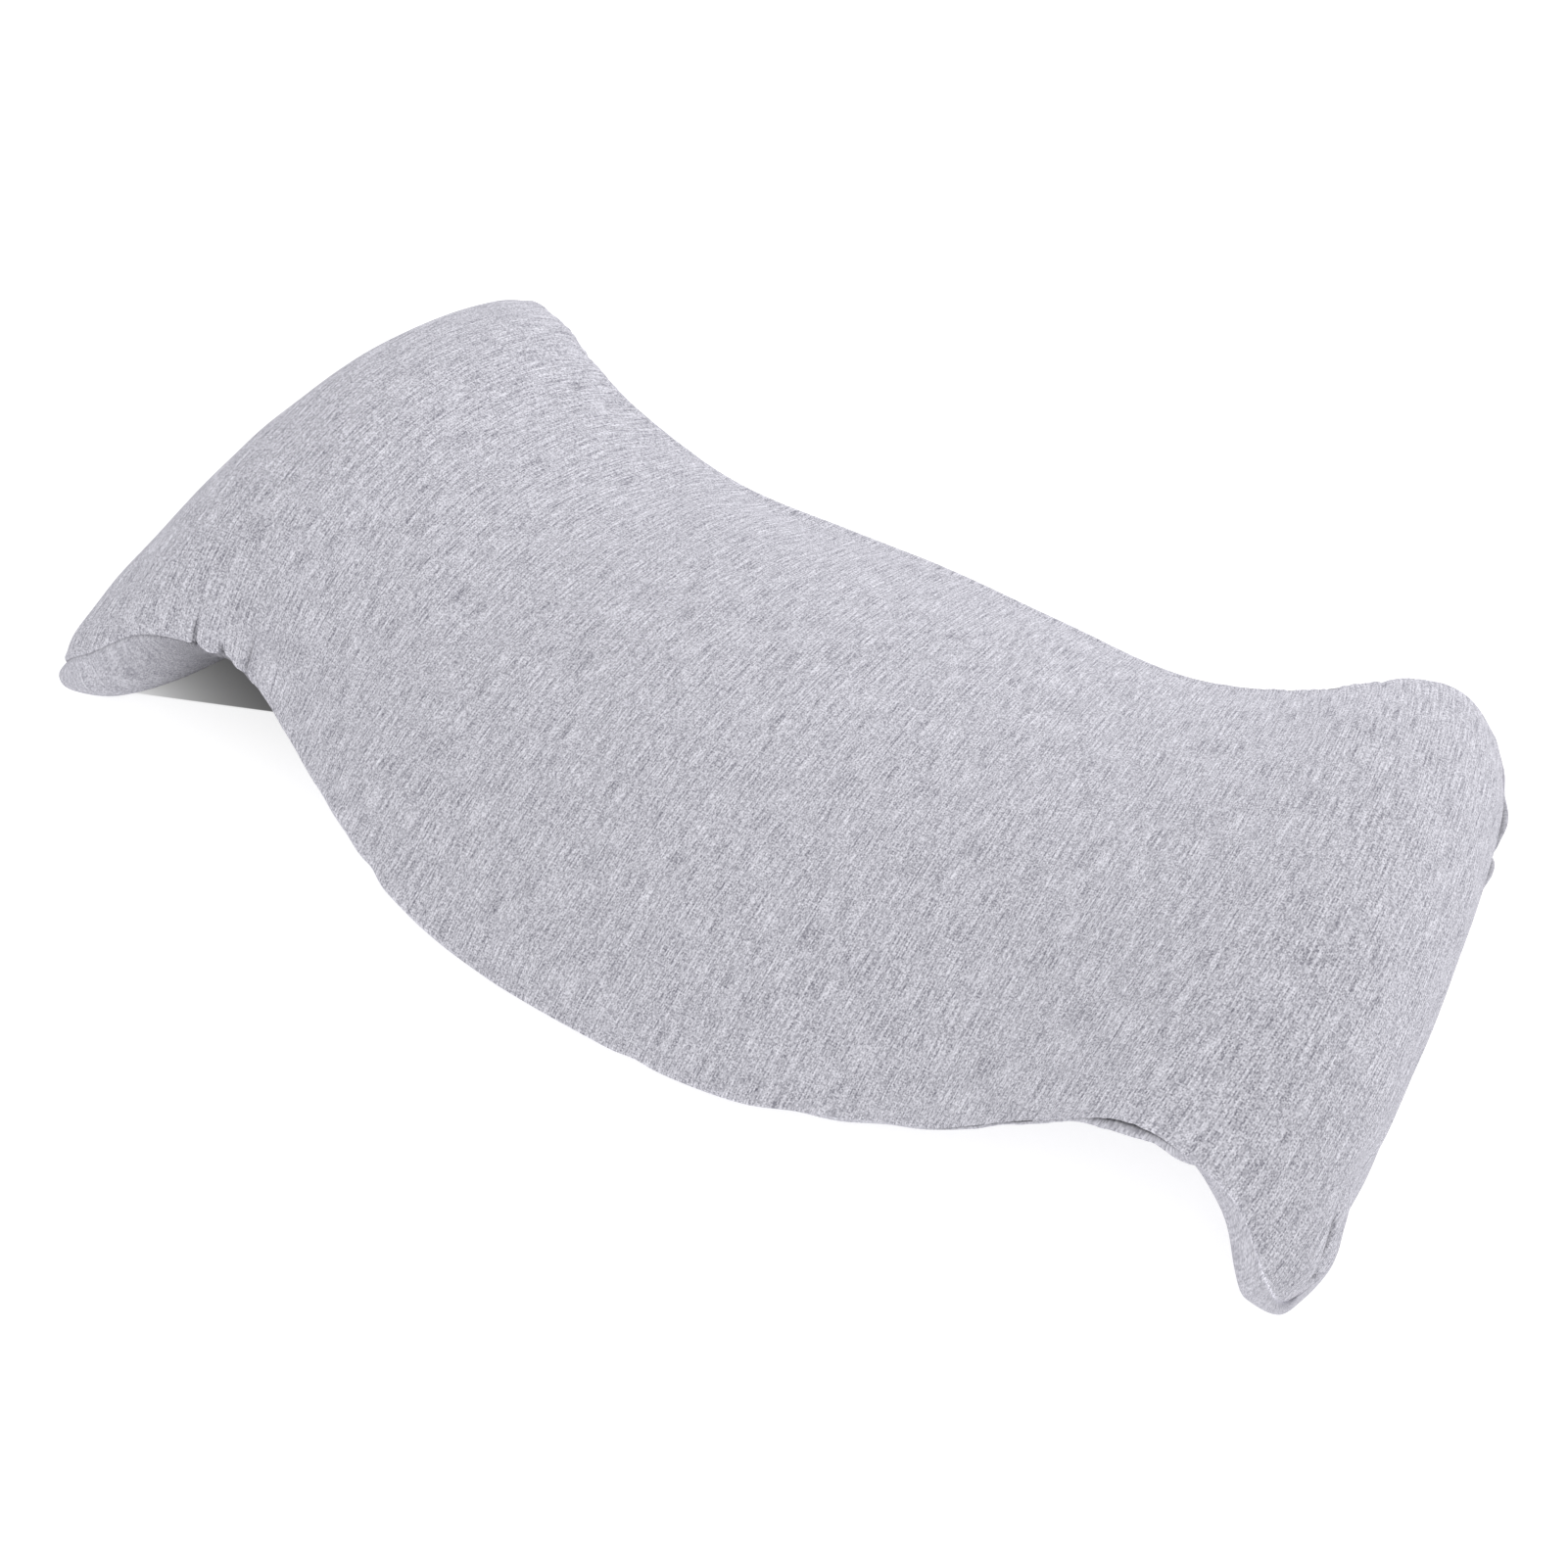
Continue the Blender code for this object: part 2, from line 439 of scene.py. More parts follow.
@dataclass(frozen=True)
class Sewing:
    """How the two panels are sewn together, and how the cloth gathers there.

    Attributes:
        groove_depth: How deep the seam lies between the two panels, in millimetres.
        groove_width: Half the width of the seam's groove.
        rim_height: How far each panel swells beside the seam.
        rim_from_seam: Where that swelling is highest.
        rim_width: Half its width.
        gather_height: Height of the gathers at the necks, at the seam.
        gather_below: Share of that height on the lower panel, which is hardly gathered.
        gather_reach: Distance from the seam over which they fade.
        gather_pitches: Spacings of the three waves that the gathers are made of.
        gather_from, gather_to: Places along the cover between which the cloth is gathered.
        gather_rise: Length over which the gathers set in and fade.
        lip: Distance from the seam over which the lower panel comes free of it.
        line_width: Half the width of the line of painted shade along the seam.
        closed_line_highlight: How dark that painted line is where the seam lies closed: less than
            nothing, a painted highlight, as the cloth is turned to the light there.
        openings: Stretches where it differs from that.
        opening_rise: Distance across over which such a stretch sets in.
        closed_groove: Share of the groove's depth that is left where the seam lies closed.
        pucker_shade_reach: How far the painted shade of the puckers of the gathers reaches from it.
    """

    groove_depth: float = 0.9
    groove_width: float = 1.1
    rim_height: float = 0.6
    rim_from_seam: float = 3.2
    rim_width: float = 2.0
    gather_height: float = 0.2
    gather_below: float = 0.35
    gather_reach: float = 9.0
    gather_pitches: tuple[float, ...] = (5.3, 7.9, 12.7)
    gather_from: float = 0.44
    gather_to: float = 0.8
    gather_rise: float = 0.12
    lip: float = 3.0
    line_width: float = 0.7
    closed_line_highlight: float = -0.2
    openings: tuple[Opening, ...] = OPENINGS
    opening_rise: float = 40.0
    closed_groove: float = 0.35
    pucker_shade_reach: float = 1.8

    def gathered(self, places: np.ndarray) -> np.ndarray:
        """How strongly the cloth is gathered at each place along the cover.

        Args:
            places: Places from -1 to 1.

        Returns:
            1 at the necks, 0 in the waist and at the ends.
        """
        away, rise = np.abs(places), self.gather_rise
        start = ramp(away, self.gather_from, self.gather_from + rise)
        return start * (1 - ramp(away, self.gather_to - rise, self.gather_to))

    def opened(self, cloth: Cloth) -> np.ndarray:
        """How dark the painted shade of the seam's line is; the groove's depth follows it too.

        Args:
            cloth: Where the points lie.

        Returns:
            1 where it is open, and less than 0 where the line is a painted highlight, lighter than the
            cloth.
        """
        line = self.closed_line_highlight
        for opening in self.openings:
            place = opening.side * cloth.place
            here = ramp(place, opening.begins, opening.begun)
            here = here * (1 - ramp(place, opening.ends, opening.ended))
            behind = ramp(cloth.across, opening.behind, opening.behind + self.opening_rise)
            line = line + opening.dark * here * behind
        return line

    def relief(self, cloth: Cloth, gathering: float) -> np.ndarray:
        """Height of the sewing over the smooth panel.

        The groove is one bell at the seam and the rim another beside it. The gathers are
        the sum of three sine waves along the length, and fade with distance from the seam.

        Args:
            cloth: Where the points lie.
            gathering: Share of the gathers that this panel takes.

        Returns:
            Heights in millimetres.
        """
        to_seam = cloth.to_seam
        depth = self.groove_depth * np.maximum(self.opened(cloth), self.closed_groove)
        groove = -depth * bell(to_seam, self.groove_width)
        rim = self.rim_height * bell(to_seam - self.rim_from_seam, self.rim_width)
        turns = 2 * math.pi * cloth.along
        waves = sum(np.sin(turns / pitch + pitch) for pitch in self.gather_pitches)
        fade = np.exp(-to_seam / self.gather_reach) * ramp(to_seam, 0, self.groove_width)
        gathers = gathering * self.gather_height * waves * self.gathered(cloth.place) * fade
        return groove + rim + gathers


@dataclass(frozen=True)
class Unevenness:
    """The slow rise and fall of soft filling under the cloth.

    Attributes:
        height: Height of each wave, in millimetres.
        lengths: Lengths of the waves along and across, a pair for each wave.
        turn: Angle by which each wave is ahead of the one before, in radians.
        fade: Distance from the seam over which they set in.
    """

    height: float = 0.45
    lengths: tuple[tuple[float, float], ...] = ((118.0, 97.0), (71.0, 133.0), (53.0, 61.0))
    turn: float = 1.7
    fade: float = 30.0

    def relief(self, cloth: Cloth) -> np.ndarray:
        """Sum of a few crossed sine waves, which fade out towards the seam.

        Args:
            cloth: Where the points lie.

        Returns:
            Heights in millimetres.
        """
        total = np.zeros_like(cloth.across)
        for count, (length, width) in enumerate(self.lengths):
            turn = self.turn * count
            wave = np.sin(2 * math.pi * cloth.along / length + turn)
            total += wave * np.cos(2 * math.pi * cloth.across / width - turn)
        return self.height * total * ramp(cloth.to_seam, 0, self.fade)


def fold_relief(folds: tuple[Fold, ...], cloth: Cloth) -> np.ndarray:
    """Adds up the folds of one panel.

    Each fold is a bell of the distance from its line, and grows and fades along the line
    as a half sine.

    Args:
        folds: The panel's folds.
        cloth: Where the points lie.

    Returns:
        Heights in millimetres.
    """
    total = np.zeros_like(cloth.across)
    for fold in folds:
        run = np.array([fold.end_along - fold.start_along, fold.end_across - fold.start_across])
        length = np.hypot(*run)
        way = run / length
        along, across = cloth.along - fold.start_along, cloth.across - fold.start_across
        ahead = along * way[0] + across * way[1]
        beside = across * way[0] - along * way[1]
        share = np.clip(ahead / length, 0, 1)
        total += fold.height * bell(beside, fold.width) * np.sin(math.pi * share)
    return total


@dataclass(frozen=True)
class Settling:
    """Blender's cloth simulation, which wrinkles the cover the way sewn cloth wrinkles.

    It runs on a coarser copy of the cover. The seam holds still and the filling holds the
    rest softly. At the necks more cloth than seam is sewn in, and the surplus buckles. Only
    the wrinkles are kept: the slow swelling of the whole cover is taken off again, because
    the sections already hold the filled shape.

    Attributes:
        step: Points of the cover's grid for each point of the coarser copy.
        frames: Frames that the simulation runs for.
        surplus: Share by which the cloth beside the seam is too long, at the necks.
        elsewhere: Share of that surplus along the rest of the seam.
        behind: Share of it along the back seam.
        reach: Distance from the seam over which the surplus fades, in millimetres.
        unevenness: Height of the random rise and fall that it starts from.
        even_from_seam: Distance from the seam over which that sets in.
        seam_reach: Points nearer the seam than this belong to it.
        seed: Start of the random numbers.
        pressure: Push of the filling from inside.
        mass: Mass of a point.
        stiffness: How the cloth resists being stretched and squeezed.
        shear: How it resists being skewed.
        bending: How it resists being bent.
        hold: How strongly the filling keeps a point in its place, from 0 to 1.
        slow_passes: Rounds of smoothing that leave only the slow part of the movement.
        fine_passes: Rounds of smoothing of the wrinkles.
        share: Share of the wrinkles' height that is kept.
        cap: The furthest that a point may move, in millimetres.
    """

    step: int = 2
    frames: int = 20
    surplus: float = 0.3
    elsewhere: float = 0.04
    behind: float = 0.35
    reach: float = 14.0
    unevenness: float = 0.15
    even_from_seam: float = 3.0
    seam_reach: float = 0.002
    seed: int = 7
    pressure: float = 0.4
    mass: float = 0.02
    stiffness: float = 15.0
    shear: float = 5.0
    bending: float = 2.0
    hold: float = 0.06
    slow_passes: int = 60
    fine_passes: int = 2
    share: float = 0.6
    cap: float = 1.2

    def moves(
        self,
        points: np.ndarray,
        normals: np.ndarray,
        grids: tuple[np.ndarray, ...],
        to_seam: np.ndarray,
        gathered: np.ndarray,
    ) -> np.ndarray:
        """Simulates the cover and returns how far each of its points moves.

        Args:
            points: Points of the cover, in millimetres.
            normals: Their normals.
            grids: Numbers of the points of the lower panel's grid and of the upper one's.
            to_seam: Distance of each point from the nearest seam.
            gathered: How strongly the cloth is gathered at each point.

        Returns:
            A movement in millimetres for each point.
        """
        coarse = [ids[:: self.step, :: self.step] for ids in grids]
        every = np.concatenate([ids.ravel() for ids in coarse])
        used, numbers = np.unique(every, return_inverse=True)
        numbers = numbers.reshape(len(coarse), *coarse[0].shape)
        away = to_seam[used]
        random = np.random.default_rng(self.seed).normal(size=len(used))
        uneven = self.unevenness * random * ramp(away, 0, self.even_from_seam)
        start = points[used] + normals[used] * uneven[:, None]
        surplus = bell(away, self.reach) * (self.elsewhere + (1 - self.elsewhere) * gathered[used])
        surplus = surplus * np.where(start[:, 1] > 0, self.behind, 1.0)
        cloth = self.sheet(start, numbers)
        self.group(cloth, "taut", 1 - surplus)
        self.group(cloth, "held", np.where(away < self.seam_reach, 1.0, self.hold))
        moved = self.run(cloth) - start
        total = np.zeros_like(points)
        for ids, picked in zip(grids, numbers):
            total[ids] = self.finer(self.wrinkles(moved[picked]), ids.shape)
        length = np.maximum(np.linalg.norm(total, axis=1, keepdims=True), TINY)
        return total / length * self.cap * np.tanh(length * self.share / self.cap)

    def sheet(self, points: np.ndarray, numbers: np.ndarray) -> bpy.types.Object:
        """Makes the coarser copy.

        Args:
            points: Its points, in millimetres.
            numbers: Numbers of the points of each panel's grid, the lower panel first.

        Returns:
            The object, in the scene.
        """
        faces = []
        for panel, ids in enumerate(numbers):
            corners = [ids[:-1, :-1], ids[1:, :-1], ids[1:, 1:], ids[:-1, 1:]]
            quads = np.stack(corners, axis=-1).reshape(-1, 4)
            faces += (quads if panel else quads[:, ::-1]).tolist()
        mesh = bpy.data.meshes.new("settling_cloth")
        mesh.from_pydata((points * MM).tolist(), [], faces)
        cloth = bpy.data.objects.new("settling_cloth", mesh)
        bpy.context.scene.collection.objects.link(cloth)
        return cloth

    def group(self, cloth: bpy.types.Object, name: str, weights: np.ndarray) -> None:
        """Adds a vertex group.

        Args:
            cloth: The simulated object.
            name: The group's name.
            weights: Weight of each point, from 0 to 1.
        """
        added = cloth.vertex_groups.new(name=name)
        for number, weight in enumerate(weights.tolist()):
            added.add([number], weight, "REPLACE")

    def run(self, cloth: bpy.types.Object) -> np.ndarray:
        """Runs the simulation, reads where the points end up and removes the object.

        Args:
            cloth: The simulated object.

        Returns:
            The points, in millimetres.
        """
        modifier = cloth.modifiers.new("settling", "CLOTH")
        settings = modifier.settings
        settings.mass = self.mass
        settings.tension_stiffness = self.stiffness
        settings.compression_stiffness = self.stiffness
        settings.shear_stiffness = self.shear
        settings.bending_stiffness = self.bending
        settings.use_pressure = True
        settings.uniform_pressure_force = self.pressure
        settings.effector_weights.gravity = 0
        settings.vertex_group_mass = "held"
        settings.vertex_group_shrink = "taut"
        settings.shrink_min = -self.surplus
        settings.shrink_max = 0
        modifier.collision_settings.use_collision = False
        scene = bpy.context.scene
        for number in range(1, self.frames + 1):
            scene.frame_set(number)
        shape = cloth.evaluated_get(bpy.context.evaluated_depsgraph_get()).data
        points = np.empty(len(shape.vertices) * 3, dtype=np.float32)
        shape.vertices.foreach_get("co", points)
        mesh = cloth.data
        bpy.data.objects.remove(cloth)
        bpy.data.meshes.remove(mesh)
        scene.frame_set(1)
        return points.reshape(-1, 3).astype(float) / MM

    def wrinkles(self, moved: np.ndarray) -> np.ndarray:
        """Takes the slow part off a panel's movement, and evens out what is left.

        Args:
            moved: Movement at each point of the panel's coarser grid.

        Returns:
            The wrinkles alone.
        """
        return self.evened(moved - self.evened(moved, self.slow_passes), self.fine_passes)

    def evened(self, values: np.ndarray, passes: int) -> np.ndarray:
        """Averages each point with its neighbours along and across, border points aside.

        Args:
            values: Values on a grid.
            passes: How many times.

        Returns:
            The evened values: half the point and a quarter of each neighbour, each way.
        """
        for _ in range(passes):
            for _ in range(2):
                inner = (values[:-2] + 2 * values[1:-1] + values[2:]) / 4
                values = np.concatenate([values[:1], inner, values[-1:]]).swapaxes(0, 1)
        return values

    def finer(self, values: np.ndarray, shape: tuple[int, ...]) -> np.ndarray:
        """Spreads values of the coarser grid over the full one, in straight lines between.

        Args:
            values: Values on the coarser grid.
            shape: Rows and columns of the full grid.

        Returns:
            Values on the full grid, evened once.
        """
        for size in shape:
            at = np.arange(size) / self.step
            low = np.minimum(at.astype(int), len(values) - 2)
            part = (at - low)[:, None, None]
            values = (values[low] * (1 - part) + values[low + 1] * part).swapaxes(0, 1)
        return self.evened(values, 1)


@dataclass
class PillowCover:
    """The cover of the pillow, filled: both panels as one closed surface.

    Attributes:
        form: The pillow's own shape.
        sewing: Its seam and gathers.
        unevenness: The soft rise and fall of its filling.
        settling: The simulation that wrinkles it.
        faces_along: Faces from one end to the other.
        faces_across: Faces from the front seam to the back seam of each panel.
        neck_place, neck_width, neck_closeness: Where the grid's sections are closest at the
            necks, over what share of the half length, and how much closer they are.
        end_from, end_full, end_closeness: The same at the ends.
        crowding: How strongly the rows gather towards the seams, from 0 to 1.
        samples: Points on a curve from which the grid's points are read.
        straight_line: Y of the line along which the cloth's ribs run straight.
        crease_shade_depths: Depths of a fold between which painted shade sets in along its crease.
        crease_shade_share: How dark that painted shade turns.
        resting_height: Height below which a point that faces down rests on the surface.
        facing_down: Upward part of a normal below which it faces down.
        fill: How tightly it is filled, from 0 to 1.
    """

    form: PillowForm = PillowForm()
    sewing: Sewing = Sewing()
    unevenness: Unevenness = Unevenness()
    settling: Settling = Settling()
    faces_along: int = 400
    faces_across: int = 112
    neck_place: float = 0.68
    neck_width: float = 0.13
    neck_closeness: float = 1.3
    end_from: float = 0.88
    end_full: float = 0.98
    end_closeness: float = 1.2
    crowding: float = 0.93
    samples: int = 1201
    straight_line: float = 0.0
    crease_shade_depths: tuple[float, float] = (0.7, 2.2)
    crease_shade_share: float = 0.6
    resting_height: float = 1.5
    facing_down: float = -0.7
    fill: float = 0.7

    def places_along(self) -> np.ndarray:
        """Places of the grid's sections, closer together at the necks and at the ends.

        Returns:
            Places from -1 to 1: equal shares of the area under a curve with two bumps.
        """
        fine = np.linspace(-1, 1, 10 * self.faces_along + 1)
        necks = bell(np.abs(fine) - self.neck_place, self.neck_width)
        ends = ramp(np.abs(fine), self.end_from, self.end_full)
        closeness = 1 + self.neck_closeness * necks + self.end_closeness * ends
        area = np.concatenate([[0], np.cumsum((closeness[1:] + closeness[:-1]) / 2)])
        return np.interp(np.linspace(0, area[-1], self.faces_along + 1), area, fine)

    def shares_across(self) -> np.ndarray:
        """Shares of a section's length at the grid's rows, closest together at the seams.

        Returns:
            Shares from 0 at the front seam to 1 at the back seam: mostly half a sine.
        """
        even = np.linspace(-1, 1, self.faces_across + 1)
        return (1 + self.crowding * np.sin(even * math.pi / 2) + (1 - self.crowding) * even) / 2

    def panel_grid(self, places: np.ndarray, panel: Panel) -> tuple[np.ndarray, np.ndarray]:
        """Points of one panel at the same shares of each section's length.

        All sections are read in one go, each set apart from the one before.

        Args:
            places: Places along the cover.
            panel: Which panel.

        Returns:
            Points in millimetres, and each point's distance along its section from the
            front seam.
        """
        dense = np.sin(np.linspace(-1, 1, self.samples) * math.pi / 2)
        curves = self.form.curves(places, dense, panel)
        steps = np.linalg.norm(np.diff(curves, axis=1), axis=-1)
        length = np.concatenate([np.zeros((len(places), 1)), np.cumsum(steps, axis=1)], axis=1)
        apart = 2.0
        row = apart * np.arange(len(places))[:, None]
        known = (length / length[:, -1:] + row).ravel()
        wanted = (self.shares_across()[None, :] + row).ravel()
        points = [np.interp(wanted, known, curves[..., i].ravel()) for i in range(3)]
        shape = (len(places), self.faces_across + 1)
        grid = np.stack(points, axis=-1).reshape(*shape, 3)
        return grid, self.shares_across()[None, :] * length[:, -1:]

    def cloth_places(self, grid: np.ndarray, travelled: np.ndarray) -> tuple[np.ndarray, np.ndarray]:
        """Where each point lies on the flat cloth.

        Along is the length of the crown line from the middle. Across is the distance along
        the section from the line where the ribs run straight.

        Args:
            grid: Points of a panel.
            travelled: Distance of each point from the front seam.

        Returns:
            Millimetres along and across, each with one value a point.
        """
        crown = grid[:, self.faces_across // 2]
        steps = np.linalg.norm(np.diff(crown, axis=0), axis=-1)
        along = np.concatenate([[0], np.cumsum(steps)])
        along -= along[-1] / 2
        nearest = np.argmin(np.abs(grid[..., 1] - self.straight_line), axis=1)
        start = np.take_along_axis(travelled, nearest[:, None], axis=1)
        offset = np.take_along_axis(grid[..., 1], nearest[:, None], axis=1) - self.straight_line
        across = travelled - start + offset
        return np.broadcast_to(along[:, None], across.shape).copy(), across

    def seam_distance(self, along: np.ndarray, travelled: np.ndarray) -> np.ndarray:
        """Distance of each point from the nearest stretch of the seam.

        Args:
            along: Millimetres of cloth along the length.
            travelled: Distance of each point from the front seam.

        Returns:
            The least of the distances to the front, back and end seams.
        """
        to_end = along.max() - np.abs(along)
        to_back = travelled[:, -1:] - travelled
        return np.minimum(np.minimum(travelled, to_back), to_end)

    def build(self) -> bpy.types.Object:
        """Makes the mesh of the whole cover.

        The two grids share the points of their border. Every point is then moved along its
        own normal by the relief of the sewing, the folds and the filling.

        Returns:
            The cover, with its places on the cloth in a UV map in metres.
        """
        places = self.places_along()
        rows, columns = len(places), self.faces_across + 1
        count = rows * columns
        upper_ids = np.arange(count).reshape(rows, columns)
        lower_ids = upper_ids.copy()
        inside = (slice(1, -1), slice(1, -1))
        lower_ids[inside] = count + np.arange((rows - 2) * (columns - 2)).reshape(rows - 2, -1)
        total = int(lower_ids.max()) + 1
        points = np.zeros((total, 3))
        height = np.zeros(total)
        to_seam_all = np.zeros(total)
        gathered_all = np.zeros(total)
        painted_shade_all = np.zeros(total)
        faces, cloth, slots = [], [], []
        for panel, ids, folds in (
            (Panel.LOWER, lower_ids, LOWER_FOLDS),
            (Panel.UPPER, upper_ids, UPPER_FOLDS),
        ):
            grid, travelled = self.panel_grid(places, panel)
            along, across = self.cloth_places(grid, travelled)
            to_seam = self.seam_distance(along, travelled)
            if panel is Panel.LOWER:
                grid = kneaded(grid, LOWER_KNEADS, ramp(to_seam, 0, self.sewing.lip))
            place = np.broadcast_to(places[:, None], across.shape)
            lie = Cloth(place, along, across, to_seam)
            gathering = self.sewing.gather_below if panel is Panel.LOWER else 1.0
            folded = fold_relief(folds, lie)
            relief = self.sewing.relief(lie, gathering) + folded + self.unevenness.relief(lie)
            points[ids] = grid
            height[ids] = relief
            to_seam_all[ids] = to_seam
            gathered_all[ids] = self.sewing.gathered(place)
            # Painted shade and highlight, which the materials read as the seam attribute: the seam's
            # line, the left hollow, the creases.
            dark = self.sewing.opened(lie) * bell(to_seam, self.sewing.line_width)
            # Painted shade of the hollow under the left neck, on the lower panel.
            if panel is Panel.LOWER:
                dark = dark + LEFT_HOLLOW_SHADE.shade(lie)
            # Painted shade in the creases of the deeper troughs.
            dark = dark + self.crease_shade_share * ramp(-folded, *self.crease_shade_depths)
            painted_shade_all[ids] = np.minimum(dark, 1)
            corners = [ids[:-1, :-1], ids[1:, :-1], ids[1:, 1:], ids[:-1, 1:]]
            quads = np.stack(corners, axis=-1).reshape(-1, 4)
            places_uv = np.stack([along, across], axis=-1) * MM
            uv = [places_uv[:-1, :-1], places_uv[1:, :-1], places_uv[1:, 1:], places_uv[:-1, 1:]]
            quad_uv = np.stack(uv, axis=-2).reshape(-1, 4, 2)
            if panel is Panel.LOWER:
                quads = quads[:, ::-1]
                quad_uv = quad_uv[:, ::-1]
            faces.append(quads)
            cloth.append(quad_uv)
            slots.append(np.full(len(quads), panel.value))
        faces = np.concatenate(faces)
        points = kneaded(points, WHOLE_KNEADS, np.ones(total))
        normals = self.normals(points, faces)
        grids = (lower_ids, upper_ids)
        points = points + self.settling.moves(points, normals, grids, to_seam_all, gathered_all)
        points = self.raised(points, normals, height)
        seams = {
            # seam: painted shade and highlight of the seam's line, the left hollow and the creases
            "seam": painted_shade_all,
            # gathers: where the painted shade of the small puckers falls beside the gathered seam
            "gathers": gathered_all * bell(to_seam_all, self.sewing.pucker_shade_reach),
        }
        return self.make_object(points, faces, np.concatenate(cloth), np.concatenate(slots), seams)

    def normals(self, points: np.ndarray, faces: np.ndarray) -> np.ndarray:
        """Normals of the points.

        A point's normal is the sum of the cross products of the diagonals of its faces.

        Args:
            points: Points in millimetres.
            faces: Four point numbers for each face.

        Returns:
            A direction of length 1 for each point.
        """
        corner = points[faces]
        cross = np.cross(corner[:, 2] - corner[:, 0], corner[:, 3] - corner[:, 1])
        total = np.zeros_like(points)
        for i in range(4):
            np.add.at(total, faces[:, i], cross)
        return total / np.maximum(np.linalg.norm(total, axis=1, keepdims=True), TINY)

    def raised(self, points: np.ndarray, normals: np.ndarray, height: np.ndarray) -> np.ndarray:
        """Moves each point along its normal, but never below the surface it rests on.

        Args:
            points: Points in millimetres.
            normals: Their normals.
            height: How far to move each point.

        Returns:
            The moved points.
        """
        resting = bell(points[:, 2], self.resting_height) * (normals[:, 2] < self.facing_down)
        moved = points + normals * (height * (1 - resting))[:, None]
        moved[:, 2] = np.maximum(moved[:, 2], 0)
        return moved

    def make_object(
        self,
        points: np.ndarray,
        faces: np.ndarray,
        cloth: np.ndarray,
        slots: np.ndarray,
        shades: dict[str, np.ndarray],
    ) -> bpy.types.Object:
        """Puts the arrays into a mesh.

        Args:
            points: Points in millimetres.
            faces: Four point numbers for each face.
            cloth: UV of each corner of each face, in metres.
            slots: Material slot of each face.
            shades: Values for each point that the materials read by name.

        Returns:
            The object, at the origin.
        """
        mesh = bpy.data.meshes.new("pillow_cover")
        mesh.from_pydata((points * MM).tolist(), [], faces.tolist())
        mesh.uv_layers.new(name="cloth").data.foreach_set("uv", cloth.ravel().astype(np.float32))
        mesh.polygons.foreach_set("material_index", slots.astype(np.int32))
        mesh.polygons.foreach_set("use_smooth", np.ones(len(faces), dtype=bool))
        for name, values in shades.items():
            attribute = mesh.attributes.new(name, "FLOAT", "POINT")
            attribute.data.foreach_set("value", values.astype(np.float32))
        mesh.update()
        cover = bpy.data.objects.new("pillow_cover", mesh)
        bpy.context.scene.collection.objects.link(cover)
        return cover

    def dress(self, cover: bpy.types.Object, finishes: tuple["Jersey", ...]) -> None:
        """Gives each panel its cloth, and ties the cover to the frame.

        Args:
            cover: The cover.
            finishes: The upper panel's cloth and the lower panel's.
        """
        for finish in finishes:
            cover.data.materials.append(finish.material())
        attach(cover, BODY)
        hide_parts("pillow")


def add_node(
    tree: bpy.types.NodeTree,
    kind: str,
    inputs: dict[int | str, object] | None = None,
    **settings: object,
) -> bpy.types.Node:
    """Adds one node to a material, with its settings and the links into it.

    Args:
        tree: The material's node tree.
        kind: Blender's name for the node type, without the leading ShaderNode.
        inputs: For each input, by name or number, a value or the socket that feeds it.
        **settings: Properties of the node itself.

    Returns:
        The new node.
    """
    node = tree.nodes.new("ShaderNode" + kind)
    for name, value in settings.items():
        setattr(node, name, value)
    for name, value in (inputs or {}).items():
        if isinstance(value, bpy.types.NodeSocket):
            tree.links.new(value, node.inputs[name])
        else:
            node.inputs[name].default_value = value
    return node


class Pattern(NamedTuple):
    """One noise in the knit.

    width, length: size of its blotches along the pillow and across it, in millimetres
    detail: how many finer layers it has
    power: power that it is taken to; at 3 only what is far from zero shows
    share: how much it tells
    """

    width: float
    length: float
    detail: float
    power: int
    share: float


